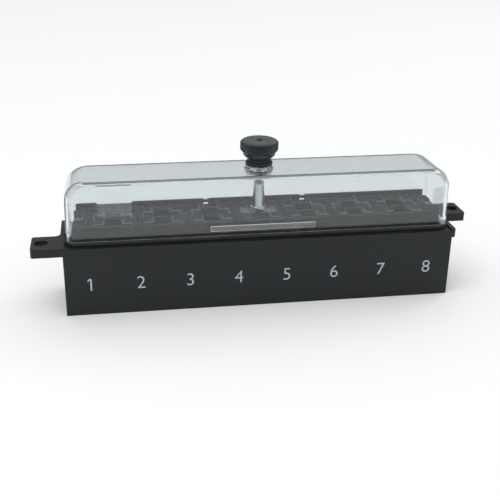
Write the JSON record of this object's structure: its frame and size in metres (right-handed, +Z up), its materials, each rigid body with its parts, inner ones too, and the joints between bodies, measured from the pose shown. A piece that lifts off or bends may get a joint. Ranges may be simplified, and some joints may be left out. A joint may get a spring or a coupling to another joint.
{
  "type": "fuse box",
  "caption": "Long black fuse box for blade fuses with diagonal mounting ears, a clear cover and a knurled clamping knob.",
  "frame": {"origin": "bottom centre of the housing's skirt", "axes": "+X along the row of fuses to the last way, +Y away from the numbered front, +Z up out of the knob"},
  "size_m": [0.1854, 0.031, 0.0669],
  "materials": {
    "housing": "black glass-filled nylon, fine moulded texture",
    "carrier": "black nylon, moulded",
    "rubber": "black rubber",
    "clear": "clear polycarbonate, glossy",
    "knob": "black nylon, knurled",
    "screw": "zinc-plated steel",
    "plated": "polished nickel plate",
    "plate": "rolled spring steel",
    "zinc": "zinc-plated steel",
    "contact": "tin-plated brass strip"
  },
  "bodies": {
    "base": {"housing": "housing", "ear_left": "housing", "ear_right": "housing", "contact_carrier": "carrier", "cover_seal": "rubber", "pillar": "plated", "pillar_plate": "plate", "pillar_washer": "zinc", "pillar_nut": "zinc", "end_clip_left": "plate", "end_clip_right": "plate", "contact_1_front": "contact", "contact_1_rear": "contact", "contact_2_front": "contact", "contact_2_rear": "contact", "contact_3_front": "contact", "contact_3_rear": "contact", "contact_4_front": "contact", "contact_4_rear": "contact", "contact_5_front": "contact", "contact_5_rear": "contact", "contact_6_front": "contact", "contact_6_rear": "contact", "contact_7_front": "contact", "contact_7_rear": "contact", "contact_8_front": "contact", "contact_8_rear": "contact"},
    "cover": {"cover": "clear"},
    "knob": {"thumb_knob": "knob", "knob_seal": "rubber", "clamp_screw": "screw"}
  },
  "joints": [
    {"name": "cover_lift", "type": "slide", "parent": "base", "child": "cover", "axis": [0, 0, 1], "range_m": [0, 0.04]},
    {"name": "knob_turn", "type": "hinge", "parent": "cover", "child": "knob", "pos_m": [0, 0, 0.06], "axis": [0, 0, 1], "continuous": true}
  ]
}
